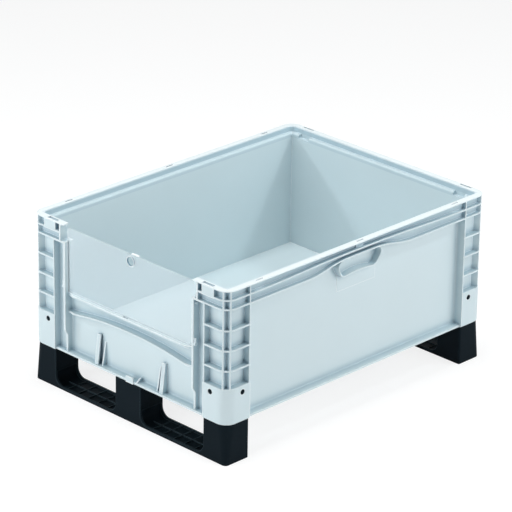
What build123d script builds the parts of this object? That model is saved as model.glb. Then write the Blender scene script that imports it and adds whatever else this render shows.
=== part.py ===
from build123d import *
import math
import os

# Stacking container on an 800 x 600 mm footprint. One short wall is cut down to a picking opening, which a
# clear pane closes. Two skids with three feet each go up into the hollow corner blocks, where pins hold them.
# Frame: X across the short walls, Y along the long walls, Z up, origin on the ground under the middle.
# The picking opening faces -Y, so left and right are as seen by someone who stands in front of it.

# Overlap that lets neighbouring features fuse, in millimetres
MERGE = 2.0

# Overall size, in millimetres
WIDTH = 600.0
LENGTH = 800.0
HEIGHT = 395.0
SKID_HEIGHT = 92.0
CORNER_RADIUS = 28.0
HALF_W = WIDTH / 2
HALF_L = LENGTH / 2

# Radius of the eased edges
RIM_EDGE = 1.5
RIB_EDGE = 1.0
SKID_EDGE = 1.5
PANE_EDGE = 0.6

# Walls, floor and foot flange of the container
WALL = 3.0
PANEL_INSET = 23.0
PANEL_X = HALF_W - PANEL_INSET
PANEL_Y = HALF_L - PANEL_INSET
WELL_X = PANEL_X - WALL
WELL_Y = PANEL_Y - WALL
WELL_RADIUS = 0.8
FLOOR_TOP = SKID_HEIGHT + 15.0
FLOOR_THICKNESS = 5.0
FLOOR_FILLET = 0.5
FLANGE_INSET = 4.0
FLANGE_TOP = SKID_HEIGHT + 5.0
FOOT_ROOT = 3.0
POST_ROOT = 5.0
GRID_RIB = 3.0
GRID_PITCH = 92.0

# Rim: top plate, skirt with two ribs, rounded ledge inside
RIM_WIDTH = 16.5
RIM_PLATE = 3.5
RIM_PLATE_Z = HEIGHT - RIM_PLATE
SKIRT_INSET = 11.0
RIB = 4.0
RIB_INSET = 0.7
UPPER_RIB_Z = HEIGHT - 24.0
LOWER_RIB_Z = HEIGHT - 44.5
LEDGE_Z = HEIGHT - 13.0
LEDGE_ROUND = 5.0
LEDGE_THICKNESS = 9.0
UPPER_SWELL = 6.5
UPPER_SWELL_FLAT = 20.0
LOWER_SWELL = 15.5
LOWER_SWELL_FLAT = 38.0
LOWER_SWELL_END = 168.0

# Slots and cut-outs of the rim
SIDE_SLOT = (4.5, 21.0)
SIDE_SLOT_X = HALF_W - 8.0
SIDE_SLOT_Y = (-300.0, 0.0, 300.0)
SLOT_BLOCK = 22.0
SLOT_BLOCK_INSET = 8.5
REAR_SLOT = (32.0, 5.0)
REAR_SLOT_PLACE = (241.0, HALF_L - 5.5)
REAR_NOTCH_X = (222.0, 254.0)
REAR_NOTCH_DROP = 9.0
FRONT_SLOT = (33.0, 9.0)
FRONT_SLOT_PLACE = (238.0, 8.0 - HALF_L)
FRONT_SLOT_DEPTH = 4.0

# Corner posts
POST = 70.0
POST_X = HALF_W - POST
POST_Y = HALF_L - POST
BLOCK_TOP = SKID_HEIGHT + 82.0
POCKET_DEPTH = 16.0
POST_RIB_Z = (214.0, 259.5, 305.0)
END_RIB = 3.5
RADIAL_RIB_ANGLES = (28.0, 62.0)
CORE_INSET = 3.0
CORE_VALLEY = (45.0, 11.0)

# Skids, their tongues in the corner blocks, and the locking pins
BLOCK_SKIN = 4.0
TONGUE_GAP = 1.0
TONGUE_THICKNESS = 10.0
TONGUE_TOP = BLOCK_TOP - 4.0
SKID_INSET = 2.0
SKID_INNER_RADIUS = 4.0
SKID_TOE_RADIUS = 10.0
FOOT = 67.5
MIDDLE_FOOT = 78.0
WINDOW_RADIUS = 22.0
BEAM = 7.0
BEAM_FLOOR = 3.0
BEAM_LIP = 5.0
TROUGH_TOP = 46.0
TROUGH_RIB = 2.0
TROUGH_RIB_TOP = 5.5
TROUGH_RIB_PITCH = 32.0
FOOT_WALL = 6.0
FOOT_TOP = 6.0
FOOT_WEB = 4.0
PIN_Z = 158.5
PIN_OFFSET = 48.5
PIN_HEAD_DIAMETER = 12.0
PIN_SHANK_DIAMETER = 9.0
PIN_RECESS = 1.2
PIN_SINK = 0.9
PIN_SHANK_LENGTH = 8.0
PIN_EDGE = 0.6

# Grip collar on the long walls and the rear wall, and the faint raised field below it on the long walls
GRIP_TOP_HALF = 77.0
GRIP_BOTTOM_HALF = 52.0
GRIP_LOW_Z = 321.0
GRIP_TOP_Z = LOWER_RIB_Z + LOWER_SWELL + RIB / 2
GRIP_BOW_FRONT = 3.5
GRIP_BOW_BACK = 9.5
GRIP_RADIUS = 16.0
GRIP_WALL = 2.8
GRIP_REACH_TOP = HALF_W - 1.0
GRIP_REACH_FOOT = HALF_W - 9.0
FIELD_Y = (-53.0, 66.0)
FIELD_Z = (286.0, GRIP_LOW_Z + MERGE)
FIELD_HEIGHT = 0.5

# Picking opening: rolled rail, arched shelf, flanges at both ends, and the ends of the rim
OPENING_HALF = 196.0
RAIL_TOP = 236.5
RAIL_THICKNESS = 4.5
RAIL_FRONT = HALF_L - 2.0
RAIL_BACK = HALF_L - 17.0
RAIL_STRAIGHT = 172.0
RAIL_END_FRONT = HALF_L - 12.0
RAIL_MARK_X = (-20.0, -4.0)
RAIL_MARK_Y = (-394.0, -389.5)
RAIL_MARK_DEPTH = 3.5
CUT_WALL_TOP = RAIL_TOP - 9.0
SHELF_FRONT = HALF_L - 4.0
SHELF_Z = 188.0
SHELF_RISE = 21.0
SHELF_FLAT = 8.0
SHELF_END = 280.0
FLANGE_OUTER_X = 200.8
FLANGE_FRONT = HALF_L - 1.0
FLANGE_FOOT_FRONT = HALF_L - 8.0
FLANGE_JOG_Z = (136.0, 148.0)
CHANNEL_Y = HALF_L - 18.0
RIM_END_X = 209.5
RIM_END_WALL = 3.5
PLATE_END_X = 199.5
FRONT_BLOCK_X = (225.0, 260.0)
LUG_NECK = (18.0, 4.0)
LUG_BULB = 8.0
LUG_OUT = 4.5
LUG_PLACE = (5.0 - HALF_L, 254.0)
NUB = 5.0
NUB_PLACE = (8.0 - HALF_L, 341.0)
PLATE_ROOT = 6.0

# Drop-in pane
PANE_THICKNESS = 4.0
PANE_Y = -387.5
PANE_HALF = 198.4
PANE_TOP = 385.0
PANE_CORNER = 5.0
GROOVE_SIDE_GAP = 0.8
GROOVE_FACE_GAP = 0.4
GROOVE_DEPTH = 1.0
FINGER_HOLE = 20.0
FINGER_HOLE_Z = 368.5
PANE_TAB_X = (4.0, 26.0)
PANE_TAB_HEIGHT = 4.0

# Label holder below the picking opening
LABEL_MIDDLE = -4.5
LABEL_WEB_X = (102.0, 105.5)
LABEL_LIP_X = 95.5
LABEL_LIP = 3.0
LABEL_DEPTH_TOP = 6.5
LABEL_DEPTH_FOOT = 15.5
LABEL_TOP = 164.5
STOP_RIB_X = 85.5
STOP_RIB = 3.5
STOP_RIB_TOP = 150.0
STOP_RIB_DEPTH = (1.5, 12.0)
CLIP_TAB_X = (-6.0, 16.0)
CLIP_TAB_Y = (-398.0, -395.0)
CLIP_TAB_TOP = 106.5
CLIP_TAB_RADIUS = 3.0
CLIP_WEDGE_X = (23.0, 26.5)
CLIP_WEDGE_TOP = 106.0
CLIP_WEDGE_Y = -384.0

# Overshoot of cutters
PAST = 2.0


def box_between(low, high):
    """Box between two opposite corners."""
    size = [b - a for a, b in zip(low, high)]
    middle = [(a + b) / 2 for a, b in zip(low, high)]
    return Pos(*middle) * Box(*size)


def eased_ends(prism, radius):
    """Upright prism whose lower and upper outlines are rounded off."""
    levels = prism.edges().group_by(Axis.Z)
    return fillet(levels[0] + levels[-1], radius)


def outline_slab(inset, z_low, z_high, ease=0.0):
    """Slab with the container's rounded outline, drawn in all round by inset."""
    radius = max(CORNER_RADIUS - inset, WALL)
    outline = RectangleRounded(WIDTH - 2 * inset, LENGTH - 2 * inset, radius)
    slab = extrude(outline, z_high - z_low)
    if ease:
        slab = eased_ends(slab, ease)
    return Pos(0, 0, z_low) * slab


def outline_ring(outer_inset, inner_inset, z_low, z_high, ease=0.0):
    """Ring between two drawn-in outlines, eased round the outside."""
    return outline_slab(outer_inset, z_low, z_high, ease) - outline_slab(inner_inset, z_low, z_high)


def prism_along_x(face, x_low, x_high):
    """Prism of a face drawn in Y and Z, from x_low to x_high."""
    return extrude(Plane.YZ.offset(x_low) * face, x_high - x_low, dir=(1, 0, 0))


def prism_along_y(face, y_low, y_high):
    """Prism of a face drawn in X and Z, from y_low to y_high."""
    return extrude(Plane.XZ.offset(-y_low) * face, y_high - y_low, dir=(0, 1, 0))


def both_sides(shape):
    """The shape and its mirror image on the other side of the middle plane X = 0."""
    return [shape, mirror(shape, about=Plane.YZ)]


def polygon(*corners):
    """Face with straight sides between the corners."""
    return make_face(Polyline(*corners, close=True))


def swelling_line(half_length, base, rise=0.0, flat=0.0, end=0.0):
    """Edges of a level line that swells up by rise in the middle, through two tangent arcs on each side."""
    if rise == 0:
        return [Line((-half_length, base), (half_length, base))]
    edges = [Line((-flat, base + rise), (flat, base + rise))]
    for side in (-1, 1):
        low = (side * end, base)
        middle = (side * (flat + end) / 2, base + rise / 2)
        high = (side * flat, base + rise)
        edges.append(Line((side * half_length, base), low))
        edges.append(TangentArc(low, middle, tangent=(-side, 0)))
        edges.append(TangentArc(high, middle, tangent=(side, 0)))
    return edges


def wall_run(half_length, lower, upper, x_low, x_high, ease=0.0):
    """Prism along a wall between two swelling lines, given as base, rise, flat and end."""
    edges = swelling_line(half_length, *lower) + swelling_line(half_length, *upper)
    for side in (-1, 1):
        edges.append(Line((side * half_length, lower[0]), (side * half_length, upper[0])))
    run = prism_along_x(make_face(edges), x_low, x_high)
    if ease:
        outer = run.edges().group_by(Axis.X)[-1]
        run = fillet(outer.filter_by(Axis.Z, reverse=True), ease)
    return run


def swelling_rib(half_length, base, swell, x_low, x_high):
    """Rib along a wall, whose swell is given as rise, flat and end."""
    return wall_run(half_length, (base, *swell), (base + RIB, *swell), x_low, x_high, RIB_EDGE)


def root_bar(radius, length):
    """Bar along Z that rounds off an inner corner at the origin, which is open towards +X and +Y."""
    middle = (radius - MERGE) / 2
    bar = Pos(middle, middle, length / 2) * Box(radius + MERGE, radius + MERGE, length)
    return bar - Pos(radius, radius, length / 2) * Cylinder(radius, length)


def foot_root(half_length, face):
    """Rounded root of a wall that faces +X, where it meets the foot flange."""
    bar = Rot(90, 0, 0) * root_bar(FOOT_ROOT, 2 * half_length)
    return Pos(face, half_length, FLANGE_TOP) * bar


def grip_face(shrink, bow):
    """Outline of the grip collar: a rounded taper whose bottom bows up, drawn in by shrink."""
    bottom = GRIP_BOTTOM_HALF - shrink
    top = GRIP_TOP_HALF - shrink
    low = GRIP_LOW_Z + shrink
    high = GRIP_TOP_Z - shrink
    edges = [
        Line((-top, high), (-bottom, low)),
        ThreePointArc((-bottom, low), (0, low + bow), (bottom, low)),
        Line((bottom, low), (top, high)),
        Line((top, high), (-top, high)),
    ]
    face = make_face(edges)
    return fillet(face.vertices(), GRIP_RADIUS - shrink)


def make_grip_collar():
    """Grip collar of a wall that faces +X: its finger rest slopes down outwards and its front leans back."""
    outside = prism_along_x(grip_face(0, GRIP_BOW_FRONT), PANEL_X - MERGE, HALF_W)
    inside = loft([
        Plane.YZ.offset(PANEL_X - MERGE) * grip_face(GRIP_WALL, GRIP_BOW_BACK),
        Plane.YZ.offset(HALF_W) * grip_face(GRIP_WALL, GRIP_BOW_FRONT),
    ])
    collar = outside - inside
    front = prism_along_y(
        polygon(
            (GRIP_REACH_FOOT, GRIP_LOW_Z - PAST),
            (HALF_W + PAST, GRIP_LOW_Z - PAST),
            (HALF_W + PAST, GRIP_TOP_Z + PAST),
            (GRIP_REACH_TOP, GRIP_TOP_Z + PAST),
        ),
        -HALF_W, HALF_W,
    )
    collar = collar - front
    return fillet(collar.faces().sort_by(Axis.X)[-1].edges(), RIB_EDGE)


def wall_features(half_length):
    """Skirt, ribs and grip collar of a wall that faces +X, between its two corner posts."""
    reach = half_length + MERGE
    lower_swell = (LOWER_SWELL, LOWER_SWELL_FLAT, LOWER_SWELL_END)
    upper_swell = (UPPER_SWELL, UPPER_SWELL_FLAT, half_length - MERGE)
    skirt_in = HALF_W - RIM_WIDTH
    skirt_out = HALF_W - SKIRT_INSET
    rib_out = HALF_W - RIB_INSET
    upright = root_bar(POST_ROOT, LOWER_RIB_Z + MERGE - SKID_HEIGHT)
    return [
        wall_run(reach, (LOWER_RIB_Z, *lower_swell), (RIM_PLATE_Z + MERGE,), skirt_in, skirt_out),
        swelling_rib(reach, LOWER_RIB_Z, lower_swell, skirt_in, rib_out),
        swelling_rib(reach, UPPER_RIB_Z, upper_swell, skirt_in, rib_out),
        make_grip_collar(),
        foot_root(reach, PANEL_X),
        Pos(PANEL_X, half_length, SKID_HEIGHT) * Rot(0, 0, -90) * upright,
        Pos(PANEL_X, -half_length, SKID_HEIGHT) * upright,
    ]


def post_layer(inset, z_low, z_high, ease=0.0):
    """L-shaped slice of the +X +Y corner post, outside the well, drawn in from the outline by inset."""
    zone = box_between((POST_X, POST_Y, z_low), (HALF_W, HALF_L, z_high))
    inside = box_between((0, 0, z_low), (WELL_X, WELL_Y, z_high))
    return (outline_slab(inset, z_low, z_high, ease) & zone) - inside


def upright_rib(length, thickness, tall):
    """Rib that stands on the XY plane and reaches out along X from the origin, eased at its outer end."""
    rib = Pos(length / 2, 0, tall / 2) * Box(length, thickness, tall)
    return fillet(rib.edges().filter_by(Axis.Z).group_by(Axis.X)[-1], RIB_EDGE)


def make_post(end_rib_top):
    """Post of the +X +Y corner: block, ribbed column and rim corner; its end rib stops at end_rib_top."""
    shapes = [
        post_layer(0, SKID_HEIGHT, BLOCK_TOP, RIM_EDGE),
        post_layer(POCKET_DEPTH, BLOCK_TOP, LEDGE_Z),
        post_layer(SKIRT_INSET, LOWER_RIB_Z, RIM_PLATE_Z + MERGE),
    ]
    for z in [level - RIB / 2 for level in POST_RIB_Z] + [LOWER_RIB_Z, UPPER_RIB_Z]:
        shapes.append(post_layer(RIB_INSET, z, z + RIB, RIB_EDGE))

    foot = BLOCK_TOP - MERGE
    head = RIM_PLATE_Z + MERGE / 2
    reach = PANEL_INSET - RIB_INSET
    side_rib = upright_rib(reach, END_RIB, head - foot)
    end_rib = upright_rib(reach, END_RIB, end_rib_top - foot)
    shapes.append(Pos(PANEL_X, POST_Y + END_RIB / 2, foot) * side_rib)
    shapes.append(Pos(POST_X + END_RIB / 2, PANEL_Y, foot) * Rot(0, 0, 90) * end_rib)

    centre = Pos(HALF_W - CORNER_RADIUS, HALF_L - CORNER_RADIUS, foot)
    radial = upright_rib(CORNER_RADIUS - RIB_INSET, RIB, head - foot)
    shapes += [centre * Rot(0, 0, angle) * radial for angle in RADIAL_RIB_ANGLES]
    first, last = [(angle, CORE_INSET) for angle in RADIAL_RIB_ANGLES]
    core = [(0, 0)]
    for angle, inset in (first, CORE_VALLEY, last):
        turn = math.radians(angle)
        core.append(((CORNER_RADIUS - inset) * math.cos(turn), (CORNER_RADIUS - inset) * math.sin(turn)))
    shapes.append(centre * extrude(polygon(*core), head - foot))
    return shapes[0] + shapes[1:]


def slanted_plan(front, z_low, z_high):
    """Plan of a rail across the opening, straight in front and slanting back to the flanges at its ends."""
    corners = []
    for side in (-1, 1):
        half = [(OPENING_HALF, -WELL_Y), (OPENING_HALF, -RAIL_END_FRONT), (RAIL_STRAIGHT, -front)]
        corners += [(side * x, y) for x, y in half][::-side]
    return Pos(0, 0, z_low) * extrude(polygon(*corners), z_high - z_low, dir=(0, 0, 1))


def make_picking_wall():
    """What stands on the cut-down wall: rail, arched shelf, rounded roots at its ends, label holder."""
    rail_face = polygon(
        (-RAIL_FRONT, RAIL_TOP),
        (-RAIL_BACK, RAIL_TOP),
        (-WELL_Y, CUT_WALL_TOP),
        (-PANEL_Y, CUT_WALL_TOP - RAIL_THICKNESS),
        (-RAIL_FRONT, RAIL_TOP - RAIL_THICKNESS),
    )
    rail = prism_along_x(rail_face, -OPENING_HALF, OPENING_HALF)
    rail = fillet(rail.edges().filter_by(Axis.X).group_by(Axis.Y)[0], RIB_EDGE)
    rail = rail & slanted_plan(RAIL_FRONT, SKID_HEIGHT, HEIGHT)
    shelf_swell = (SHELF_RISE, SHELF_FLAT, SHELF_END)
    shelf = Rot(0, 0, -90) * swelling_rib(HALF_W, SHELF_Z - RIB, shelf_swell, WELL_Y, SHELF_FRONT)
    shelf = shelf & slanted_plan(SHELF_FRONT, SKID_HEIGHT, HEIGHT)
    root = Rot(0, 0, 180) * root_bar(POST_ROOT, CUT_WALL_TOP - SKID_HEIGHT)
    root = Pos(OPENING_HALF, -PANEL_Y, SKID_HEIGHT) * root
    foot = Rot(0, 0, -90) * foot_root(OPENING_HALF, PANEL_Y)
    return [rail, shelf, foot] + both_sides(root) + make_label_holder()


def make_label_holder():
    """Two hooked uprights, two tapered stop ribs and a clip that hold a label on the cut-down wall."""
    y_root = MERGE - PANEL_Y
    y_foot = -PANEL_Y - LABEL_DEPTH_FOOT
    y_top = -PANEL_Y - LABEL_DEPTH_TOP
    web_in, web_out = LABEL_WEB_X
    web_face = polygon((y_root, SKID_HEIGHT), (y_foot, SKID_HEIGHT), (y_top, LABEL_TOP), (y_root, LABEL_TOP))
    lip_face = polygon(
        (y_foot + LABEL_LIP, SKID_HEIGHT),
        (y_foot, SKID_HEIGHT),
        (y_top, LABEL_TOP),
        (y_top + LABEL_LIP, LABEL_TOP),
    )
    shallow, deep = STOP_RIB_DEPTH
    stop_face = polygon(
        (y_root, STOP_RIB_TOP),
        (-PANEL_Y - shallow, STOP_RIB_TOP),
        (-PANEL_Y - deep, SKID_HEIGHT),
        (y_root, SKID_HEIGHT),
    )
    pieces = [
        prism_along_x(web_face, web_in, web_out),
        prism_along_x(lip_face, LABEL_LIP_X, web_out),
        prism_along_x(stop_face, STOP_RIB_X - STOP_RIB / 2, STOP_RIB_X + STOP_RIB / 2),
    ]
    holder = [Pos(LABEL_MIDDLE, 0, 0) * shape for piece in pieces for shape in both_sides(piece)]

    tab_in, tab_out = CLIP_TAB_X
    tab_face = polygon(
        (tab_in, SKID_HEIGHT),
        (tab_out, SKID_HEIGHT),
        (tab_out, CLIP_TAB_TOP),
        (tab_in, CLIP_TAB_TOP),
    )
    tab_face = fillet(tab_face.vertices().group_by(Axis.Y)[-1], CLIP_TAB_RADIUS)
    wedge_face = polygon(
        (y_root, SKID_HEIGHT),
        (FLANGE_INSET - HALF_L, FLANGE_TOP),
        (CLIP_WEDGE_Y, CLIP_WEDGE_TOP),
        (y_root, CLIP_WEDGE_TOP),
    )
    return holder + [prism_along_y(tab_face, *CLIP_TAB_Y), prism_along_x(wedge_face, *CLIP_WEDGE_X)]


def make_front_end():
    """Right-hand side of the picking opening: flange, channel beside the post, and the rim's end."""
    top = LOWER_RIB_Z + RIB
    flange_face = polygon(
        (-CHANNEL_Y, SKID_HEIGHT),
        (-FLANGE_FOOT_FRONT, SKID_HEIGHT),
        (-FLANGE_FOOT_FRONT, FLANGE_JOG_Z[0]),
        (-FLANGE_FRONT, FLANGE_JOG_Z[1]),
        (-FLANGE_FRONT, top),
        (-CHANNEL_Y, top),
    )
    flange = prism_along_x(flange_face, OPENING_HALF, FLANGE_OUTER_X)
    past_post = POST_X + MERGE
    rib_y = RIB_INSET - HALF_L
    skirt_y = SKIRT_INSET - HALF_L
    channel = box_between((OPENING_HALF, -CHANNEL_Y, SKID_HEIGHT), (past_post, -WELL_Y, top))
    skirt = box_between((RIM_END_X, skirt_y, LOWER_RIB_Z), (past_post, -WELL_Y, RIM_PLATE_Z + MERGE))
    lower_rib = box_between((FLANGE_OUTER_X, rib_y, LOWER_RIB_Z), (past_post, -CHANNEL_Y, top))
    upper_rib = box_between((RIM_END_X, rib_y, UPPER_RIB_Z), (past_post, skirt_y, UPPER_RIB_Z + RIB))
    end_wall = box_between((RIM_END_X, rib_y, top), (RIM_END_X + RIM_END_WALL, skirt_y, RIM_PLATE_Z + MERGE))
    block_in, block_out = FRONT_BLOCK_X
    block = box_between((block_in, rib_y, UPPER_RIB_Z), (block_out, skirt_y, RIM_PLATE_Z + MERGE))
    neck_height, neck_width = LUG_NECK
    bulb_drop = (neck_height - LUG_BULB) / 2
    lug_face = SlotOverall(neck_height, neck_width, rotation=90) + Pos(0, -bulb_drop) * Circle(LUG_BULB / 2)
    lug_face = Pos(*LUG_PLACE) * lug_face + Pos(*NUB_PLACE) * Circle(NUB / 2)
    lugs = prism_along_x(lug_face, FLANGE_OUTER_X - MERGE, FLANGE_OUTER_X + LUG_OUT)
    plate_root = Pos(RIM_END_X, skirt_y, RIM_PLATE_Z) * Rot(0, 180, 0) * Rot(90, 0, 0) * root_bar(
        PLATE_ROOT, skirt_y - rib_y
    )
    return [flange, channel, skirt, lower_rib, upper_rib, end_wall, block, lugs, plate_root]


def make_floor_grid():
    """Ribs under the floor, evenly spaced both ways."""
    z_low = SKID_HEIGHT
    z_high = FLOOR_TOP - FLOOR_THICKNESS + MERGE
    bars = []
    for half, across, turned in ((WELL_X, WELL_Y, False), (WELL_Y, WELL_X, True)):
        count = int(half / GRID_PITCH)
        for step in range(-count, count + 1):
            middle = step * GRID_PITCH
            low = (middle - GRID_RIB / 2, -across - MERGE)
            high = (middle + GRID_RIB / 2, across + MERGE)
            if turned:
                low, high = low[::-1], high[::-1]
            bars.append(box_between((*low, z_low), (*high, z_high)))
    return bars


def throat_face(grow=0.0):
    """Outline of the rim's throat, let out all round by grow."""
    width = WIDTH - 2 * RIM_WIDTH + 2 * grow
    length = LENGTH - 2 * RIM_WIDTH + 2 * grow
    return RectangleRounded(width, length, CORNER_RADIUS - RIM_WIDTH + grow)


def well_face(grow=0.0):
    """Outline of the well, let out all round by grow."""
    return RectangleRounded(2 * (WELL_X + grow), 2 * (WELL_Y + grow), WELL_RADIUS + grow)


def ledge_rounding():
    """What rounds off the ledge's inner edge: a slab as deep as it is, less a ring with a rounded edge."""
    slab = extrude(well_face(LEDGE_ROUND), LEDGE_ROUND)
    deep = LEDGE_ROUND + MERGE
    ring = extrude(well_face(deep), deep) - extrude(well_face(), deep)
    ring = fillet(ring.faces().sort_by(Axis.Z)[-1].inner_wires()[0].edges(), LEDGE_ROUND)
    return Pos(0, 0, LEDGE_Z - LEDGE_ROUND) * (slab - Pos(0, 0, -MERGE) * ring)


def well_cutters():
    """Inside of the container: the well with filleted floor edges, its rounded ledge and the rim's throat."""
    well = extrude(well_face(), LEDGE_Z - FLOOR_TOP)
    well = fillet(well.edges().group_by(Axis.Z)[0], FLOOR_FILLET)
    above = Pos(0, 0, LEDGE_Z) * extrude(throat_face(), HEIGHT + PAST - LEDGE_Z)
    mouth = loft([Pos(0, 0, HEIGHT - RIB_EDGE) * throat_face(), Pos(0, 0, HEIGHT) * throat_face(RIB_EDGE)])
    return [Pos(0, 0, FLOOR_TOP) * well, ledge_rounding(), above, mouth]


def slot_cutters():
    """Slots in the top of the rim, and the two notches in the rear ledge."""
    slots = []
    past = HEIGHT + PAST

    def slot(place, size, z_low):
        x, y = place
        half_x = size[0] / 2
        half_y = size[1] / 2
        return box_between((x - half_x, y - half_y, z_low), (x + half_x, y + half_y, past))

    for y in SIDE_SLOT_Y:
        slots += both_sides(slot((SIDE_SLOT_X, y), SIDE_SLOT, RIM_PLATE_Z))
    slots += both_sides(slot(REAR_SLOT_PLACE, REAR_SLOT, RIM_PLATE_Z))
    slots += both_sides(slot(FRONT_SLOT_PLACE, FRONT_SLOT, HEIGHT - FRONT_SLOT_DEPTH))
    notch_low = LEDGE_Z - REAR_NOTCH_DROP
    x_low, x_high = REAR_NOTCH_X
    notch = box_between((x_low, WELL_Y - PAST, notch_low), (x_high, HALF_L - RIM_WIDTH, LEDGE_Z))
    return slots + both_sides(notch)


def opening_cutters():
    """The picking opening: through the wall, wider beside the rim's ends, and the gap between its plates."""
    spans = (
        (OPENING_HALF, CUT_WALL_TOP, HEIGHT + PAST),
        (RIM_END_X, LOWER_RIB_Z + RIB, RIM_PLATE_Z),
        (PLATE_END_X, RIM_PLATE_Z, HEIGHT + PAST),
    )
    return [
        box_between((-half, -HALF_L - PAST, z_low), (half, PAST - WELL_Y, z_high))
        for half, z_low, z_high in spans
    ]


def pane_groove():
    """Groove of the pane in the rail and in both flanges, and the short slot in the rail before it."""
    half = PANE_HALF + GROOVE_SIDE_GAP
    depth = PANE_THICKNESS / 2 + GROOVE_FACE_GAP
    groove = box_between(
        (-half, PANE_Y - depth, RAIL_TOP - GROOVE_DEPTH),
        (half, PANE_Y + depth, HEIGHT + PAST),
    )
    mark = box_between(
        (RAIL_MARK_X[0], RAIL_MARK_Y[0], RAIL_TOP - RAIL_MARK_DEPTH),
        (RAIL_MARK_X[1], RAIL_MARK_Y[1], RAIL_TOP + PAST),
    )
    return [groove, mark]


def post_pocket():
    """L-shaped hollow of the +X +Y corner block, open below, for the skid's tongue."""
    low, high = SKID_HEIGHT - PAST, TONGUE_TOP
    zone = box_between((POST_X + BLOCK_SKIN, POST_Y + BLOCK_SKIN, low), (HALF_W, HALF_L, high))
    inside = box_between((0, 0, low), (PANEL_X, PANEL_Y, high))
    return (outline_slab(BLOCK_SKIN, low, high) & zone) - inside


def four_corners(shape):
    """The +X +Y corner's shape at all four corners."""
    pair = both_sides(shape)
    return pair + [mirror(each, about=Plane.XZ) for each in pair]


def pin_places():
    """Names and places of the eight pins: the outer end of each axis, pointing outwards."""
    places = {}
    for end_name, end in (("front", -1), ("rear", 1)):
        for side_name, side in (("left", -1), ("right", 1)):
            corner = f"lock_pin_{end_name}_{side_name}"
            end_face = (side * (HALF_W - PIN_OFFSET), end * HALF_L, PIN_Z)
            side_face = (side * HALF_W, end * (HALF_L - PIN_OFFSET), PIN_Z)
            places[f"{corner}_end"] = Plane(end_face, x_dir=(1, 0, 0), z_dir=(0, end, 0))
            places[f"{corner}_side"] = Plane(side_face, x_dir=(0, 1, 0), z_dir=(side, 0, 0))
    return places


def inward_cylinder(diameter, start, end):
    """Cylinder about a pin's axis between two depths below the block's face."""
    return Pos(0, 0, -(start + end) / 2) * Cylinder(diameter / 2, end - start)


def make_pin():
    """Locking pin: a sunk round head and a shank with an eased tip, head outwards along Z."""
    head_end = BLOCK_SKIN
    tip = BLOCK_SKIN + TONGUE_GAP + PIN_SHANK_LENGTH
    head = inward_cylinder(PIN_HEAD_DIAMETER, PIN_RECESS, head_end)
    shank = inward_cylinder(PIN_SHANK_DIAMETER, head_end, tip)
    pin = head + shank
    return chamfer(pin.edges().sort_by(Axis.Z)[0], PIN_EDGE)


def make_crate_shell(pins):
    """The container, one moulding."""
    tub = box_between((-PANEL_X, -PANEL_Y, SKID_HEIGHT), (PANEL_X, PANEL_Y, LEDGE_Z))
    under = box_between((-WELL_X, -WELL_Y, SKID_HEIGHT - PAST), (WELL_X, WELL_Y, FLOOR_TOP - FLOOR_THICKNESS))
    solids = [
        outline_slab(FLANGE_INSET, SKID_HEIGHT, FLANGE_TOP, RIB_EDGE),
        outline_ring(0, RIM_WIDTH, RIM_PLATE_Z, HEIGHT, RIM_EDGE),
        outline_ring(RIM_WIDTH, PANEL_INSET, LEDGE_Z - LEDGE_THICKNESS, LEDGE_Z),
    ]
    slot_block = box_between(
        (HALF_W - SKIRT_INSET - MERGE, -SLOT_BLOCK / 2, UPPER_RIB_Z + RIB),
        (HALF_W - SLOT_BLOCK_INSET, SLOT_BLOCK / 2, RIM_PLATE_Z + MERGE),
    )
    field = box_between(
        (PANEL_X - MERGE, FIELD_Y[0], FIELD_Z[0]),
        (PANEL_X + FIELD_HEIGHT, FIELD_Y[1], FIELD_Z[1]),
    )
    for feature in wall_features(POST_Y) + [slot_block, field]:
        solids += both_sides(feature)
    rear_place = Pos(0, HALF_L - HALF_W, 0) * Rot(0, 0, 90)
    solids += [rear_place * feature for feature in wall_features(POST_X)]
    rear_shelf = box_between(
        (REAR_NOTCH_X[0] - WALL, PANEL_Y - MERGE, LEDGE_Z - REAR_NOTCH_DROP - WALL),
        (PANEL_X, HALF_L - SKIRT_INSET - MERGE, LEDGE_Z),
    )
    solids += both_sides(rear_shelf)
    rear_post = make_post(RIM_PLATE_Z + MERGE / 2)
    front_post = mirror(make_post(LOWER_RIB_Z + MERGE), about=Plane.XZ)
    solids += both_sides(rear_post) + both_sides(front_post)
    shell = tub + solids
    shell = shell - [under] - opening_cutters()

    front = make_picking_wall()
    for feature in make_front_end():
        front += both_sides(feature)
    shell = shell + front + make_floor_grid()

    cutters = well_cutters() + slot_cutters() + pane_groove() + four_corners(post_pocket())
    hole = inward_cylinder(PIN_HEAD_DIAMETER, -PAST, BLOCK_SKIN + TONGUE_GAP / 2)
    hole_radius = PIN_HEAD_DIAMETER / 2
    hole += Pos(0, 0, -PIN_SINK / 2) * Cone(hole_radius, hole_radius + PIN_SINK, PIN_SINK)
    cutters += [place * hole for place in pins.values()]
    return shell - cutters


def window_cutters(x_middle, width, y_in, y_out):
    """One fork window of a skid, flared at both faces, and the trough in its beam and the feet beside it."""
    top = SKID_HEIGHT + 2 * WINDOW_RADIUS

    def window(grow):
        return Pos(x_middle, (BEAM + top) / 2) * RectangleRounded(
            width + 2 * grow, top - BEAM + 2 * grow, WINDOW_RADIUS + grow
        )

    cutters = [prism_along_y(window(0), y_in - PAST, y_out + PAST)]
    for y, inward in ((y_in, 1), (y_out, -1)):
        outer = Plane.XZ.offset(-y) * window(SKID_EDGE)
        inner = Plane.XZ.offset(-y - inward * SKID_EDGE) * window(0)
        cutters.append(loft([outer, inner]))
    deeper = BEAM - BEAM_FLOOR
    tall = TROUGH_TOP - BEAM_FLOOR
    trough = Pos(x_middle, BEAM_FLOOR + tall / 2) * RectangleRounded(
        width + 2 * deeper, tall, (tall - deeper) / 2
    )
    cutters.append(prism_along_y(trough, y_in + BEAM_LIP, y_out - BEAM_LIP))
    return cutters


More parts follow.
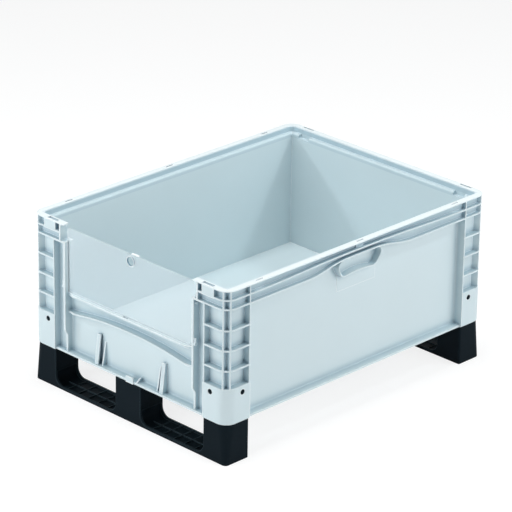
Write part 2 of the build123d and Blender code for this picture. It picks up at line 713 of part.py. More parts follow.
def foot_hollows(y_in, y_out, spans):
    """Hollows of the feet, open below, in two rows on either side of a web."""
    y_web = (y_in + y_out) / 2
    rows = ((y_in + FOOT_WALL, y_web - FOOT_WEB / 2), (y_web + FOOT_WEB / 2, y_out - FOOT_WALL))
    inner = outline_slab(SKID_INSET + FOOT_WALL, -PAST, SKID_HEIGHT - FOOT_TOP)
    side_wall = FOOT_WALL + BEAM - BEAM_FLOOR
    hollows = []
    for x_low, x_high in spans:
        for y_low, y_high in rows:
            low = (x_low + side_wall, y_low, -PAST)
            high = (x_high - side_wall, y_high, SKID_HEIGHT - FOOT_TOP)
            hollows.append(box_between(low, high) & inner)
    return hollows


def beam_ribs(x_middle, width, y_in, y_out):
    """Low ribs in the trough of one fork window: one lengthwise, the others across."""
    y_middle = (y_in + y_out) / 2
    ribs = [box_between(
        (x_middle - width / 2, y_middle - TROUGH_RIB / 2, 0),
        (x_middle + width / 2, y_middle + TROUGH_RIB / 2, TROUGH_RIB_TOP),
    )]
    count = int(width / 2 / TROUGH_RIB_PITCH)
    for step in range(-count, count + 1):
        x = x_middle + step * TROUGH_RIB_PITCH
        low = (x - TROUGH_RIB / 2, y_in + TROUGH_RIB, 0)
        high = (x + TROUGH_RIB / 2, y_out - TROUGH_RIB, TROUGH_RIB_TOP)
        ribs.append(box_between(low, high))
    return ribs


def make_rear_skid(pins):
    """Skid under the rear wall: three hollow feet, a thin ribbed beam, and two tongues.

    Its outer corners follow the container at the top and draw in to a smaller radius at the ground.
    """
    y_out = HALF_L - SKID_INSET
    y_in = y_out - FOOT
    x_out = HALF_W - SKID_INSET
    x_foot = x_out - FOOT
    x_middle = MIDDLE_FOOT / 2
    window_x = (x_foot + x_middle) / 2
    window_width = x_foot - x_middle
    plans = []
    for z, radius in ((0, SKID_TOE_RADIUS), (SKID_HEIGHT, CORNER_RADIUS - SKID_INSET)):
        plan = Pos(0, (y_in + y_out) / 2) * Rectangle(2 * x_out, FOOT)
        plan = fillet(plan.vertices().group_by(Axis.Y)[-1], radius)
        plan = fillet(plan.vertices().group_by(Axis.Y)[0], SKID_INNER_RADIUS)
        plans.append(Pos(0, 0, z) * plan)
    bar = eased_ends(loft(plans, ruled=True), SKID_EDGE)

    cutters = foot_hollows(y_in, y_out, [(-x_middle, x_middle), (x_foot, x_out), (-x_out, -x_foot)])
    for cutter in window_cutters(window_x, window_width, y_in, y_out):
        cutters += both_sides(cutter)
    skid = bar - cutters

    tongue_in = BLOCK_SKIN + TONGUE_GAP
    zone_x = POST_X + tongue_in
    zone_y = POST_Y + tongue_in
    tongue_out = tongue_in + TONGUE_THICKNESS
    tongue = outline_ring(tongue_in, tongue_out, SKID_HEIGHT - MERGE, TONGUE_TOP - TONGUE_GAP)
    added = both_sides(tongue & box_between((zone_x, zone_y, 0), (HALF_W, HALF_L, HEIGHT)))
    for rib in beam_ribs(window_x, window_width, y_in, y_out):
        added += both_sides(rib)
    skid = skid + added
    hole = inward_cylinder(PIN_SHANK_DIAMETER, 0, tongue_in + PIN_SHANK_LENGTH)
    return skid - [place * hole for name, place in pins.items() if "rear" in name]


def make_front_pane():
    """Clear pane with a finger hole and a raised tab on its upper edge."""
    low = RAIL_TOP - GROOVE_DEPTH
    plate = Pos(0, (low + PANE_TOP) / 2) * Rectangle(2 * PANE_HALF, PANE_TOP - low)
    plate = fillet(plate.vertices().group_by(Axis.Y)[-1], PANE_CORNER)
    tab_in, tab_out = PANE_TAB_X
    tab = Pos((tab_in + tab_out) / 2, PANE_TOP) * RectangleRounded(
        tab_out - tab_in, 2 * PANE_TAB_HEIGHT, PANE_TAB_HEIGHT / 2
    )
    hole = Pos(0, FINGER_HOLE_Z) * Circle(FINGER_HOLE / 2)
    pane = prism_along_y(plate + tab - hole, PANE_Y - PANE_THICKNESS / 2, PANE_Y + PANE_THICKNESS / 2)
    outlines = pane.edges().group_by(Axis.Y)
    return fillet(outlines[0] + outlines[-1], PANE_EDGE)


def main():
    """Builds every node and writes it to parts/."""
    os.makedirs("parts", exist_ok=True)
    pins = pin_places()
    rear_skid = make_rear_skid(pins)
    nodes = {
        "crate_shell": make_crate_shell(pins),
        "front_pane": make_front_pane(),
        "front_skid": mirror(rear_skid, about=Plane.XZ),
        "rear_skid": rear_skid,
    }
    pin = make_pin()
    for name, place in pins.items():
        nodes[name] = place * pin
    for name, shape in nodes.items():
        export_step(shape, f"parts/{name}.step")


main()
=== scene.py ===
import math

import bpy
from bpy.props import FloatProperty, FloatVectorProperty, PointerProperty
from bpy.types import Operator, Panel, PropertyGroup
from mathutils import Matrix, Vector


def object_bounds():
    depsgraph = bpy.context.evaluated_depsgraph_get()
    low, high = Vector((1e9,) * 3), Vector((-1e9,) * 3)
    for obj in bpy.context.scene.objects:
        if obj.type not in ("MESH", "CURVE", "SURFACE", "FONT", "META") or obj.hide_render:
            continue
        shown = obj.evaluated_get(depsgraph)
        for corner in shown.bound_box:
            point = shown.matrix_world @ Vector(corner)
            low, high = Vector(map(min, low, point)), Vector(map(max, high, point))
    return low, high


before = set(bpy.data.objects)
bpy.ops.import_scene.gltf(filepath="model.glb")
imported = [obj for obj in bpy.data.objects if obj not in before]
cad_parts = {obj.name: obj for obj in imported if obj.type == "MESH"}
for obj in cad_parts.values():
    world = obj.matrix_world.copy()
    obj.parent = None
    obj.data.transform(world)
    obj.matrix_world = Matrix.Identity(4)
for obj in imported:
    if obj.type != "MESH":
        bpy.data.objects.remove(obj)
CAD_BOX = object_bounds()

bl_info = {
    "name": "Stacking Container",
    "version": (1, 0, 0),
    "blender": (4, 5, 0),
    "location": "3D View > Sidebar > Container",
    "description": "Dresses a stacking container with a picking opening, and lights it in a studio",
    "category": "Object",
}

BODY = "crate_shell"
PANE = "front_pane"
SKIDS = ("front_skid", "rear_skid")
PINS = tuple(sorted(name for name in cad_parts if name.startswith("lock_pin")))

# Lengths in metres. The box is rounded, because the frame holds it in single precision.
HALF_WIDTH, HALF_LENGTH, RIM_TOP = (round(value, 4) for value in CAD_BOX[1])
# From the rim's outline in to the middle of the walls, and to the middle of the pane.
WALL_INSET = 0.0245
PANE_INSET = 0.0125
# Heights over which the painted highlight on the top of the rim and the painted highlight on the pane's upper
# cut edges fade in.
RIM_FADE = 0.001
GROOVE_FADE = 0.005

# One minus the cosine of the angle between a face and the averaged normal, where an edge, which gets the
# painted highlight, starts and is full.
EDGE_TURN = (0.012, 0.062)
# Closed share of the space about a point, where it starts to count as deep and is wholly deep, for the
# painted deep shade.
DEEP_SHARE = (0.66, 0.92)
# Front-to-back part of the pane's normal, where a face starts to be a cut edge and wholly is one.
CUT_FACING = (0.98, 0.6)
MASK_SAMPLES = 8

# Bump of the mould's grain.
GRAIN_STRENGTH = 0.06
GRAIN_DEPTH = 0.0003
# How far the roughness of a moulding strays to both sides of its setting, and the range of the pane's.
ROUGHNESS_SPREAD = 0.05
PANE_ROUGHNESS = (0.16, 0.24)
# How much darker the patches of the pane and of the floor are.
PANE_PATCH = 0.03
FLOOR_PATCH = 0.02
FLOOR_ROUGHNESS = 0.9
FLOOR_SPECULAR = 0.1
FLOOR_HALF = 20.0
WHITE = (1.0, 1.0, 1.0, 1.0)

# Each lamp's name, the settings with its power and colour, its width and its place.
LAMPS = (
    ("TopLamp", "top_power", "key_colour", 1.4, (0.0, -0.15, 3.6)),
    ("SideLamp", "side_power", "fill_colour", 2.2, (3.3, 0.9, 1.6)),
    ("FrontLamp", "front_power", "fill_colour", 2.2, (-0.65, -3.35, 1.25)),
    ("RightLamp", "right_power", "corner_colour", 0.3, (1.7, 1.7, 2.6)),
    ("LeftLamp", "left_power", "corner_colour", 0.3, (-2.0, -2.0, 1.9)),
)
LAMP_AIM = (0.0, 0.0, 0.2)
# Width of the camera's sensor in millimetres, and how far it sees in metres.
SENSOR = 36.0
VIEW_END = 100.0

# Places of a Mix node's sockets for colours and for numbers: factor, first, second and result.
MIX_SOCKETS = {"RGBA": (0, 6, 7, 2), "FLOAT": (0, 2, 3, 0)}


def colour_property(name, description, rgb):
    """Colour with four channels, of which the last is one."""
    return FloatVectorProperty(
        name=name, description=description, subtype="COLOR", size=4, min=0.0, max=1.0, default=(*rgb, 1.0)
    )


def share_property(name, description, default):
    """Share between nought and one."""
    return FloatProperty(
        name=name, description=description, subtype="FACTOR", min=0.0, max=1.0, default=default
    )


def length_property(name, description, default, low=0.0):
    """Length or height in metres."""
    return FloatProperty(name=name, description=description, unit="LENGTH", min=low, default=default)


def point_property(name, description, default):
    """Point or three lengths, in metres."""
    return FloatVectorProperty(
        name=name, description=description, subtype="XYZ", unit="LENGTH", default=default
    )


def angle_property(name, description, degrees):
    """Angle, given in degrees and kept in radians."""
    return FloatProperty(name=name, description=description, subtype="ANGLE", default=math.radians(degrees))


def power_property(name, description, default):
    """Power of a lamp in watts."""
    return FloatProperty(name=name, description=description, unit="POWER", min=0.0, default=default)


class ContainerFinish(PropertyGroup):
    """Colours and surfaces of the container, the skids and the pane."""

    body_colour: colour_property("Body", "Colour of the container", (0.625, 0.733, 0.77))
    # Painted highlight along the container's edges and ribs, standing in for light caught on rounded edges.
    body_painted_highlight: colour_property("Body edge", "Colour of the container's edges", (0.97, 0.985, 0.99))
    # Painted shade in corners and creases, and darker painted shade deep in pockets.
    body_painted_shade: colour_property("Body crease", "Colour in the container's corners", (0.13, 0.30, 0.42))
    body_painted_deep_shade: colour_property("Body depth", "Colour deep in the container's pockets", (0.05, 0.11, 0.17))
    body_patch: share_property("Body patches", "How much darker the container's patches are", 0.04)
    # Share of the painted edge highlight.
    body_highlight_share: share_property("Body edge share", "How pale the container's edges are", 1.0)
    body_roughness: share_property("Body roughness", "Roughness of the container", 0.42)
    body_specular: share_property("Body gloss", "Specular level of the container", 0.5)

    skid_colour: colour_property("Skid", "Colour of the skids", (0.008, 0.014, 0.019))
    # Painted highlight along the skids' edges.
    skid_painted_highlight: colour_property("Skid edge", "Colour of the skids' edges", (0.05, 0.075, 0.09))
    # Painted shade in the skids' corners, and darker painted shade deep in their hollows.
    skid_painted_shade: colour_property("Skid crease", "Colour in the skids' corners", (0.002, 0.004, 0.006))
    skid_painted_deep_shade: colour_property("Skid depth", "Colour deep in the skids' hollows", (0.001, 0.002, 0.003))
    skid_patch: share_property("Skid patches", "How much darker the skids' patches are", 0.25)
    # Share of the skids' painted edge highlight.
    skid_highlight_share: share_property("Skid edge share", "How pale the skids' edges are", 0.8)
    skid_roughness: share_property("Skid roughness", "Roughness of the skids", 0.45)
    skid_specular: share_property("Skid gloss", "Specular level of the skids", 0.02)

    grain_size: length_property("Grain", "Size of the mould's grain", 0.0009, low=0.0001)
    edge_radius: length_property("Edge", "Radius of the moulded edges", 0.0024)
    # Reach of the painted crease shade.
    crease_reach: length_property("Crease", "How far a crease darkens", 0.016)
    well: point_property(
        "Well", "Half the width and length of the well",
        (HALF_WIDTH - WALL_INSET, HALF_LENGTH - WALL_INSET, 0.0),
    )
    # Painted highlight: the top of the rim is painted pale, as if lit by the lamp above.
    rim_height: length_property("Rim height", "Height from which the rubbed rim is pale", RIM_TOP - 0.0035)
    rim_highlight_share: share_property("Rim share", "How pale the rubbed rim is", 0.34)
    throat_depth: length_property("Throat", "How far the rim's throat lies outside the well", 0.0095)
    # Painted shade on the rim's throat and on the ledge below it.
    throat_share: share_property("Throat share", "How shaded the rim's throat is", 0.2)
    ledge_height: length_property("Ledge", "Height of the ledge below the rim's throat", RIM_TOP - 0.0125)
    ledge_share: share_property("Ledge share", "How shaded the ledge and the throat are", 0.16)
    # How much less painted highlight the ledge gets than other edges.
    ledge_highlight_loss: share_property("Ledge loss", "How much less pale the ledge is than other edges", 0.85)
    notch_drop: length_property("Notch", "Depth of the ledge's notches", 0.011)

    pane_colour: colour_property("Pane", "Colour of the hazy pane", (0.82, 0.90, 0.95))
    # Pale colour of the tab, and painted highlight on the pane's cut edges and about the hole.
    pane_highlight_and_tab: colour_property("Pane edge", "Colour of the pane's cut edges", (0.95, 0.97, 0.98))
    pane_cover: share_property("Pane cover", "How much each broad face of the pane covers", 0.2)
    # Cover of the painted highlight on the cut edges.
    edge_cover: share_property("Edge cover", "How much the pane's cut edges cover", 0.2)
    pane_groove: length_property("Pane groove", "Height at which the pane's grooves end", RIM_TOP - 0.04)
    tab_height: length_property("Tab height", "Height above which the pane's tab is pale", RIM_TOP - 0.0088)
    hole_middle: point_property(
        "Hole", "Middle of the finger hole", (0.0, PANE_INSET - HALF_LENGTH, RIM_TOP - 0.0265)
    )
    hole_radius: length_property("Hole radius", "Radius of the finger hole", 0.0103)
    # Painted shade on the finger hole's wall.
    hole_painted_shade: colour_property("Hole wall", "Colour of the finger hole's wall", (0.08, 0.19, 0.27))
    hole_cover: share_property("Hole cover", "How much the finger hole's wall covers", 0.95)
    # Width of the ring of painted highlight about the hole.
    highlight_ring_width: length_property("Hole ring", "Width of the pale ring about the hole", 0.003)
    pale_cover: share_property("Pale cover", "How much the tab and the hole's ring cover", 0.8)


class StudioView(PropertyGroup):
    """Camera and light."""

    azimuth: angle_property("Azimuth", "Way round the container", 44.701)
    elevation: angle_property("Elevation", "Height of the view", 23.199)
    roll: angle_property("Roll", "Turn about the line of sight", 0.856)
    distance: length_property("Distance", "From the aim to the camera", 6.809)
    aim: point_property("Aim", "Point in the middle of the view", (-0.02571, 0.0102, 0.25611))
    lens: FloatProperty(name="Lens", description="Focal length", unit="CAMERA", default=218.039)

    floor_colour: colour_property("Floor", "Colour of the floor", (0.88, 0.89, 0.90))
    floor_white: share_property("Floor white", "Share of plain white in the floor as the camera sees it", 0.7)
    floor_glow: FloatProperty(name="Floor glow", description="Strength of the floor's white", default=1.15)

    ambient: FloatProperty(name="Ambient", description="Strength of the surrounding light", default=0.06)
    ambient_colour: colour_property("Ambient colour", "Colour of the surrounding light", (0.82, 0.97, 1.0))
    key_colour: colour_property("Key colour", "Colour of the lamp above", (1.0, 0.97, 0.95))
    fill_colour: colour_property("Fill colour", "Colour of the lamps beside and in front", (1.0, 1.0, 1.0))
    corner_colour: colour_property("Corner colour", "Colour of the two small lamps", (0.88, 0.97, 1.0))
    top_power: power_property("Top lamp", "Power of the lamp above", 76.0)
    side_power: power_property("Side lamp", "Power of the lamp on the right", 60.0)
    front_power: power_property("Front lamp", "Power of the lamp in front", 58.0)
    right_power: power_property("Right lamp", "Power of the small lamp behind on the right", 21.0)
    left_power: power_property("Left lamp", "Power of the small lamp in front on the left", 20.0)


def put(tree, kind, inputs=None, **attributes):
    """Adds one node: attributes are set on it, and each input takes a constant or another node's output."""
    node = tree.nodes.new(kind)
    for name, value in attributes.items():
        setattr(node, name, value)
    for name, value in (inputs or {}).items():
        if isinstance(value, bpy.types.NodeSocket):
            tree.links.new(value, node.inputs[name])
        else:
            node.inputs[name].default_value = value
    return node


def calculated(tree, operation, *values, clamp=False):
    """Result of a Math node for one to three values."""
    inputs = dict(enumerate(values))
    return put(tree, "ShaderNodeMath", inputs, operation=operation, use_clamp=clamp).outputs[0]


def vector_calculated(tree, operation, *values):
    """Outputs of a Vector Math node for one or two vectors."""
    return put(tree, "ShaderNodeVectorMath", dict(enumerate(values)), operation=operation).outputs


def ranged(tree, value, start, end, first=0.0, last=1.0, **attributes):
    """A value mapped so that start becomes first and end becomes last, and held beyond them."""
    inputs = {"Value": value, "From Min": start, "From Max": end, "To Min": first, "To Max": last}
    return put(tree, "ShaderNodeMapRange", inputs, **attributes).outputs["Result"]


def mixed(tree, factor, first, second, kind="RGBA"):
    """Mix of two colours, or of two numbers."""
    factor_place, first_place, second_place, result_place = MIX_SOCKETS[kind]
    inputs = {factor_place: factor, first_place: first, second_place: second}
    return put(tree, "ShaderNodeMix", inputs, data_type=kind).outputs[result_place]


def object_place(tree):
    """Object coordinates."""
    return put(tree, "ShaderNodeTexCoord").outputs["Object"]


def axes_of(tree, vector):
    """The three parts of a vector."""
    return put(tree, "ShaderNodeSeparateXYZ", {0: vector}).outputs


def new_group(name, inputs, outputs):
    """Shader node group: a number or vector for each input, as {name: default}, and masks as outputs."""
    tree = bpy.data.node_groups.new(name, "ShaderNodeTree")
    for label, default in inputs.items():
        kind = "NodeSocketFloat" if isinstance(default, float) else "NodeSocketVector"
        tree.interface.new_socket(label, in_out="INPUT", socket_type=kind).default_value = default
    for label in outputs:
        tree.interface.new_socket(label, in_out="OUTPUT", socket_type="NodeSocketFloat")
    return tree, tree.nodes.new("NodeGroupInput").outputs, tree.nodes.new("NodeGroupOutput").inputs


def moulded_grain_group(name):
    """Fine grain of a spark-eroded mould and slow patches of tone, both from noise on Object coordinates."""
    tree, given, out = new_group(name, {"Grain Size": 0.001, "Patch Size": 0.12}, ("Height", "Patch"))
    place = object_place(tree)
    for size, detail, label in (("Grain Size", 2.0, "Height"), ("Patch Size", 3.0, "Patch")):
        scale = calculated(tree, "DIVIDE", 1.0, given[size])
        noise = put(tree, "ShaderNodeTexNoise", {"Vector": place, "Scale": scale, "Detail": detail})
        tree.links.new(noise.outputs["Fac"], out[label])
    return tree


def eased_edge_group(name):
    """Edges and thin ribs: a mask of where the normal, averaged over a small radius, leaves the face."""
    tree, given, out = new_group(name, {"Radius": 0.001}, ("Edge",))
    bevel = put(tree, "ShaderNodeBevel", {"Radius": given["Radius"]}, samples=MASK_SAMPLES)
    face = put(tree, "ShaderNodeNewGeometry").outputs["Normal"]
    cosine = vector_calculated(tree, "DOT_PRODUCT", bevel.outputs["Normal"], face)["Value"]
    turn = calculated(tree, "SUBTRACT", 1.0, cosine)
    tree.links.new(ranged(tree, turn, *EDGE_TURN), out["Edge"])
    return tree


def crease_group(name):
    """Creases: how much of the space within reach of a point is closed in, and the deepest part of that, as
    masks for painted shade.

    Inside the well, taken as a box about the origin with no top or bottom, light is thrown from wall to wall,
    so corners darken less and none of them counts as deep. The same goes for the ledge and the rim's throat
    above it, which are a little wider. Throat is a mask of the throat alone, and Ledge one of both.
    """
    tree, given, out = new_group(
        name,
        {
            "Reach": 0.01,
            "Gain": 0.75,
            "Well Gain": 0.1,
            "Well": (0.0, 0.0, 0.0),
            "Throat Depth": 0.0,
            "Throat Low": 1.0,
            "Throat High": 1.0,
        },
        ("Crease", "Deep", "Throat", "Ledge"),
    )
    distance = vector_calculated(tree, "ABSOLUTE", object_place(tree))["Vector"]
    past = axes_of(tree, vector_calculated(tree, "SUBTRACT", distance, given["Well"])["Vector"])
    furthest = calculated(tree, "MAXIMUM", past["X"], past["Y"])
    high = calculated(tree, "GREATER_THAN", past["Z"], given["Throat Low"])
    upper = calculated(tree, "GREATER_THAN", past["Z"], given["Throat High"])
    limit = calculated(tree, "MULTIPLY", high, given["Throat Depth"])
    outside = calculated(tree, "GREATER_THAN", furthest, limit)
    gain = ranged(tree, outside, 0.0, 1.0, given["Well Gain"], given["Gain"])
    shade = put(
        tree, "ShaderNodeAmbientOcclusion", {"Distance": given["Reach"]},
        samples=MASK_SAMPLES, only_local=True,
    )
    closed = calculated(tree, "SUBTRACT", 1.0, shade.outputs["AO"])
    deep = ranged(tree, closed, *DEEP_SHARE, interpolation_type="SMOOTHSTEP")
    masks = {
        "Crease": calculated(tree, "MULTIPLY", closed, gain, clamp=True),
        "Deep": calculated(tree, "MULTIPLY", deep, outside),
        "Throat": calculated(tree, "SUBTRACT", upper, outside, clamp=True),
        "Ledge": calculated(tree, "SUBTRACT", high, outside, clamp=True),
    }
    for label, mask in masks.items():
        tree.links.new(mask, out[label])
    return tree


GROUP_MAKERS = {"MouldedGrain": moulded_grain_group, "EasedEdge": eased_edge_group, "Crease": crease_group}


def group_outputs(tree, name, inputs=None):
    """Places a shared node group, which is made when it is first asked for, and gives its outputs."""
    group = bpy.data.node_groups.get(name) or GROUP_MAKERS[name](name)
    return put(tree, "ShaderNodeGroup", inputs, node_tree=group).outputs


def new_material(name):
    """Node material with a Principled shader: the material, its tree, the shader and the output's Surface."""
    material = bpy.data.materials.new(name)
    material.use_nodes = True
    tree = material.node_tree
    tree.nodes.clear()
    shader = tree.nodes.new("ShaderNodeBsdfPrincipled")
    surface = tree.nodes.new("ShaderNodeOutputMaterial").inputs["Surface"]
    tree.links.new(shader.outputs[0], surface)
    return material, tree, shader, surface


def patchy(tree, patch, colour, depth):
    """A colour that is darker by a share of depth where the mask of patches is nought."""
    darker = [channel * (1.0 - depth) for channel in colour[:3]] + [1.0]
    return mixed(tree, patch, darker, colour)


def painted_highlight_share(tree, finish, crease, highlight_share):
    """Share of painted highlight on a moulding: along its open edges, less in creases and on the ledge, and
    on the whole of the top of the rim, painted as if lit from above.
    """
    edge = group_outputs(tree, "EasedEdge", {"Radius": finish.edge_radius})["Edge"]
    open_part = calculated(tree, "SUBTRACT", highlight_share, crease["Crease"])
    open_part = calculated(tree, "MULTIPLY_ADD", crease["Ledge"], -finish.ledge_highlight_loss, open_part)
    share = calculated(tree, "MULTIPLY", edge, open_part, clamp=True)
    height = axes_of(tree, object_place(tree))["Z"]
    # Painted highlight on the top of the rim, as if lit from above.
    top_lit_rim = ranged(tree, height, finish.rim_height, finish.rim_height + RIM_FADE, 0.0, finish.rim_highlight_share)
    return calculated(tree, "MAXIMUM", share, top_lit_rim)


def moulded_plastic(name, finish, colours, patch_depth, highlight_share, roughness, specular):
    """Moulded plastic: patches of tone, painted shade in creases and pockets, painted highlights on edges and
    ribs, uneven roughness, a fine grain.
    """
    colour, highlight_colour, shade_colour, deep_shade_colour = colours
    material, tree, shader, _ = new_material(name)
    grain = group_outputs(tree, "MouldedGrain", {"Grain Size": finish.grain_size})
    crease = group_outputs(tree, "Crease", {
        "Reach": finish.crease_reach,
        "Well": finish.well,
        "Throat Depth": finish.throat_depth,
        "Throat Low": finish.ledge_height - finish.notch_drop,
        "Throat High": finish.ledge_height,
    })
    tone = patchy(tree, grain["Patch"], colour, patch_depth)
    # Painted shade in creases and deep in pockets, where occlusion would shade them.
    tone = mixed(tree, crease["Crease"], tone, shade_colour)
    tone = mixed(tree, crease["Deep"], tone, deep_shade_colour)
    # Painted shade on the rim's throat and the ledge below it.
    for zone, strength in (("Throat", finish.throat_share), ("Ledge", finish.ledge_share)):
        tone = mixed(tree, calculated(tree, "MULTIPLY", crease[zone], strength), tone, shade_colour)
    # Painted highlight on edges, ribs and the top of the rim.
    tone = mixed(tree, painted_highlight_share(tree, finish, crease, highlight_share), tone, highlight_colour)
    tree.links.new(tone, shader.inputs["Base Color"])
    smooth, rough = roughness - ROUGHNESS_SPREAD, roughness + ROUGHNESS_SPREAD
    tree.links.new(ranged(tree, grain["Patch"], 0.0, 1.0, smooth, rough), shader.inputs["Roughness"])
    bump = put(
        tree, "ShaderNodeBump",
        {"Strength": GRAIN_STRENGTH, "Distance": GRAIN_DEPTH, "Height": grain["Height"]},
    )
    tree.links.new(bump.outputs["Normal"], shader.inputs["Normal"])
    shader.inputs["Specular IOR Level"].default_value = specular
    return material


def hole_masks(tree, finish):
    """Masks of the finger hole's wall, for painted shade, and of a ring about it that fades outwards, for a
    painted highlight.
    """
    offset = vector_calculated(tree, "SUBTRACT", object_place(tree), finish.hole_middle)["Vector"]
    flat = vector_calculated(tree, "MULTIPLY", offset, (1.0, 0.0, 1.0))["Vector"]
    radius = vector_calculated(tree, "LENGTH", flat)["Value"]
    wall = calculated(tree, "LESS_THAN", radius, finish.hole_radius)
    highlight_ring = ranged(tree, radius, finish.hole_radius, finish.hole_radius + finish.highlight_ring_width, 1.0, 0.0)
    return wall, highlight_ring


def hazy_plastic(name, finish):
    """Hazy pane: it covers a little of what is behind it, and more at its tab and finger hole. Its upper cut
    edges and a ring about the hole carry a painted highlight, and the hole's wall painted shade.
    """
    material, tree, shader, _ = new_material(name)
    patch = group_outputs(tree, "MouldedGrain")["Patch"]
    facing = axes_of(tree, put(tree, "ShaderNodeNewGeometry").outputs["Normal"])["Y"]
    height = axes_of(tree, object_place(tree))["Z"]
    cut = ranged(tree, calculated(tree, "ABSOLUTE", facing), *CUT_FACING)
    upper = ranged(tree, height, finish.pane_groove - GROOVE_FADE, finish.pane_groove)
    cut = calculated(tree, "MULTIPLY", cut, upper)
    tone = patchy(tree, patch, finish.pane_colour, PANE_PATCH)
    # Painted highlight on the pane's upper cut edges.
    tone = mixed(tree, cut, tone, finish.pane_highlight_and_tab)
    cover = ranged(tree, cut, 0.0, 1.0, finish.pane_cover, finish.edge_cover)
    tab = calculated(tree, "GREATER_THAN", height, finish.tab_height)
    wall, highlight_ring = hole_masks(tree, finish)
    front = calculated(tree, "LESS_THAN", facing, 0.0)
    # Pale tab, and painted highlight in a ring about the hole on the front.
    tab_and_ring_highlight = calculated(tree, "MAXIMUM", tab, calculated(tree, "MULTIPLY", highlight_ring, front))
    # The hole's wall gets painted shade.
    marks = ((tab_and_ring_highlight, finish.pane_highlight_and_tab, finish.pale_cover), (wall, finish.hole_painted_shade, finish.hole_cover))
    for mask, colour, covering in marks:
        tone = mixed(tree, mask, tone, colour)
        cover = mixed(tree, mask, cover, covering, kind="FLOAT")
    tree.links.new(tone, shader.inputs["Base Color"])
    tree.links.new(cover, shader.inputs["Alpha"])
    tree.links.new(ranged(tree, patch, 0.0, 1.0, *PANE_ROUGHNESS), shader.inputs["Roughness"])
    return material


def dress(names, material):
    """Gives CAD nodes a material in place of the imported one."""
    for name in names:
        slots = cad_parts[name].data.materials
        slots.clear()
        slots.append(material)


def seen_rays(tree):
    """One for rays of the camera, reflections and clear pieces, and nought for the rays that light things."""
    path = put(tree, "ShaderNodeLightPath").outputs
    seen = path["Is Camera Ray"]
    for kind in ("Is Transmission Ray", "Is Glossy Ray"):
        seen = calculated(tree, "MAXIMUM", seen, path[kind])
    return seen


def floor_paint(view):
    """Matt paint: the camera sees it as nearly white with the object's shadow, and it is clear from below."""
    material, tree, shader, surface = new_material("FloorPaint")
    patch = group_outputs(tree, "MouldedGrain")["Patch"]
    tree.links.new(patchy(tree, patch, view.floor_colour, FLOOR_PATCH), shader.inputs["Base Color"])
    shader.inputs["Roughness"].default_value = FLOOR_ROUGHNESS
    shader.inputs["Specular IOR Level"].default_value = FLOOR_SPECULAR
    share = calculated(tree, "MULTIPLY", seen_rays(tree), view.floor_white)
    white = put(tree, "ShaderNodeEmission", {"Color": WHITE, "Strength": view.floor_glow})
    above = put(tree, "ShaderNodeMixShader", {0: share, 1: shader.outputs[0], 2: white.outputs[0]})
    below = put(tree, "ShaderNodeNewGeometry").outputs["Backfacing"]
    clear = put(tree, "ShaderNodeBsdfTransparent")
    sided = put(tree, "ShaderNodeMixShader", {0: below, 1: above.outputs[0], 2: clear.outputs[0]})
    tree.links.new(sided.outputs[0], surface)
    return material


def add_floor(scene, view):
    """Flat square floor about the origin."""
    half = FLOOR_HALF
    corners = [(-half, -half, 0.0), (half, -half, 0.0), (half, half, 0.0), (-half, half, 0.0)]
    mesh = bpy.data.meshes.new("Floor")
    mesh.from_pydata(corners, [], [(0, 1, 2, 3)])
    mesh.materials.append(floor_paint(view))
    floor = bpy.data.objects.new("Floor", mesh)
    scene.collection.objects.link(floor)


def add_world(scene, view):
    """Even surrounding light that the camera, reflections and the clear pane see as white."""
    world = bpy.data.worlds.new("Studio")
    world.use_nodes = True
    tree = world.node_tree
    tree.nodes.clear()
    light = put(tree, "ShaderNodeBackground", {"Color": view.ambient_colour, "Strength": view.ambient})
    white = put(tree, "ShaderNodeBackground", {"Color": WHITE, "Strength": 1.0})
    blend = put(
        tree, "ShaderNodeMixShader", {0: seen_rays(tree), 1: light.outputs[0], 2: white.outputs[0]}
    )
    output = tree.nodes.new("ShaderNodeOutputWorld")
    tree.links.new(blend.outputs[0], output.inputs["Surface"])
    scene.world = world


def add_lamp(scene, name, power, colour, width, place):
    """Square soft box at place, turned towards the object."""
    lamp = bpy.data.lights.new(name, "AREA")
    lamp.energy = power
    lamp.color = colour[:3]
    lamp.size = width
    item = bpy.data.objects.new(name, lamp)
    scene.collection.objects.link(item)
    back = (Vector(place) - Vector(LAMP_AIM)).normalized()
    item.matrix_world = Matrix.Translation(place) @ back.to_track_quat("Z", "Y").to_matrix().to_4x4()


def aim_matrix(eye, back, roll):
    """Placement of a camera at eye that looks along minus back, turned by roll about its line of sight."""
    right = Vector((0, 0, 1)).cross(back).normalized()
    up = back.cross(right)
    turned_right = math.cos(roll) * right + math.sin(roll) * up
    turned_up = -math.sin(roll) * right + math.cos(roll) * up
    turn = Matrix((turned_right, turned_up, back)).transposed()
    return Matrix.Translation(eye) @ turn.to_4x4()


def add_camera(scene, view):
    """Camera at the photograph's viewing angle."""
    camera = bpy.data.cameras.new("Camera")
    camera.sensor_width = SENSOR
    camera.lens = view.lens
    camera.clip_end = VIEW_END
    item = bpy.data.objects.new("Camera", camera)
    scene.collection.objects.link(item)
    level = math.cos(view.elevation)
    back = Vector((
        math.sin(view.azimuth) * level,
        -math.cos(view.azimuth) * level,
        math.sin(view.elevation),
    ))
    item.matrix_world = aim_matrix(Vector(view.aim) + view.distance * back, back, view.roll)
    scene.camera = item
    scene.view_settings.view_transform = "Standard"


class CONTAINER_OT_dress_body(Operator):
    """Finish the container's body as satin moulded plastic"""

    bl_idname = "container.dress_body"
    bl_label = "Dress Body"

    def execute(self, context):
        finish = context.scene.container_finish
        material = moulded_plastic(
            "BodyPlastic",
            finish,
            (finish.body_colour, finish.body_painted_highlight, finish.body_painted_shade, finish.body_painted_deep_shade),
            finish.body_patch,
            finish.body_highlight_share,
            finish.body_roughness,
            finish.body_specular,
        )
        dress([BODY], material)
        return {"FINISHED"}


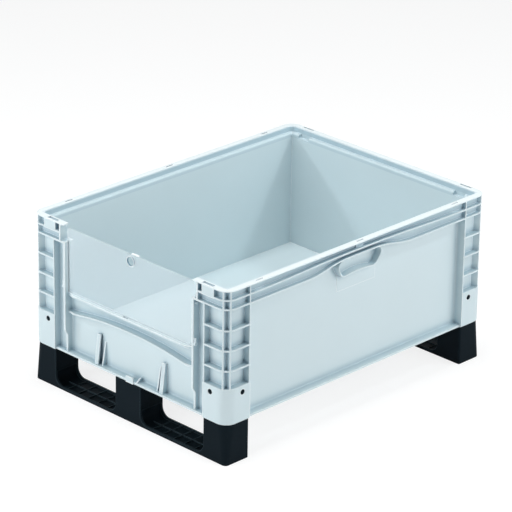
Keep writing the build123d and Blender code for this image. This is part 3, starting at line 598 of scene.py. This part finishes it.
class CONTAINER_OT_dress_skids(Operator):
    """Finish the skids and the locking pins as black moulded plastic"""

    bl_idname = "container.dress_skids"
    bl_label = "Dress Skids and Pins"

    def execute(self, context):
        finish = context.scene.container_finish
        material = moulded_plastic(
            "SkidPlastic",
            finish,
            (finish.skid_colour, finish.skid_painted_highlight, finish.skid_painted_shade, finish.skid_painted_deep_shade),
            finish.skid_patch,
            finish.skid_highlight_share,
            finish.skid_roughness,
            finish.skid_specular,
        )
        dress(SKIDS + PINS, material)
        return {"FINISHED"}


class CONTAINER_OT_dress_pane(Operator):
    """Finish the drop-in pane as hazy clear plastic"""

    bl_idname = "container.dress_pane"
    bl_label = "Dress Pane"

    def execute(self, context):
        dress([PANE], hazy_plastic("PanePlastic", context.scene.container_finish))
        return {"FINISHED"}


class CONTAINER_OT_add_stage(Operator):
    """Add the floor, the surrounding light, the lamps and the camera"""

    bl_idname = "container.add_stage"
    bl_label = "Add Stage"

    def execute(self, context):
        scene = context.scene
        view = scene.studio_view
        add_floor(scene, view)
        add_world(scene, view)
        for name, power, colour, width, place in LAMPS:
            add_lamp(scene, name, getattr(view, power), getattr(view, colour), width, place)
        add_camera(scene, view)
        return {"FINISHED"}


class CONTAINER_PT_panel(Panel):
    """Sidebar panel with the container's steps and settings"""

    bl_idname = "CONTAINER_PT_panel"
    bl_label = "Stacking Container"
    bl_space_type = "VIEW_3D"
    bl_region_type = "UI"
    bl_category = "Container"

    def draw(self, context):
        for step in STEPS:
            self.layout.operator(step.bl_idname)
        for settings in (context.scene.container_finish, context.scene.studio_view):
            box = self.layout.box()
            for name in settings.__annotations__:
                box.prop(settings, name)


STEPS = (
    CONTAINER_OT_dress_body,
    CONTAINER_OT_dress_skids,
    CONTAINER_OT_dress_pane,
    CONTAINER_OT_add_stage,
)
CLASSES = (ContainerFinish, StudioView) + STEPS + (CONTAINER_PT_panel,)


def register():
    """Registers the classes and the scene's settings."""
    for item in CLASSES:
        bpy.utils.register_class(item)
    bpy.types.Scene.container_finish = PointerProperty(type=ContainerFinish)
    bpy.types.Scene.studio_view = PointerProperty(type=StudioView)


def unregister():
    """Removes the settings and the classes again."""
    del bpy.types.Scene.studio_view
    del bpy.types.Scene.container_finish
    for item in reversed(CLASSES):
        bpy.utils.unregister_class(item)


def main():
    """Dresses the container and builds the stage."""
    register()
    bpy.ops.container.dress_body()
    bpy.ops.container.dress_skids()
    bpy.ops.container.dress_pane()
    bpy.ops.container.add_stage()


if __name__ == "__main__":
    main()
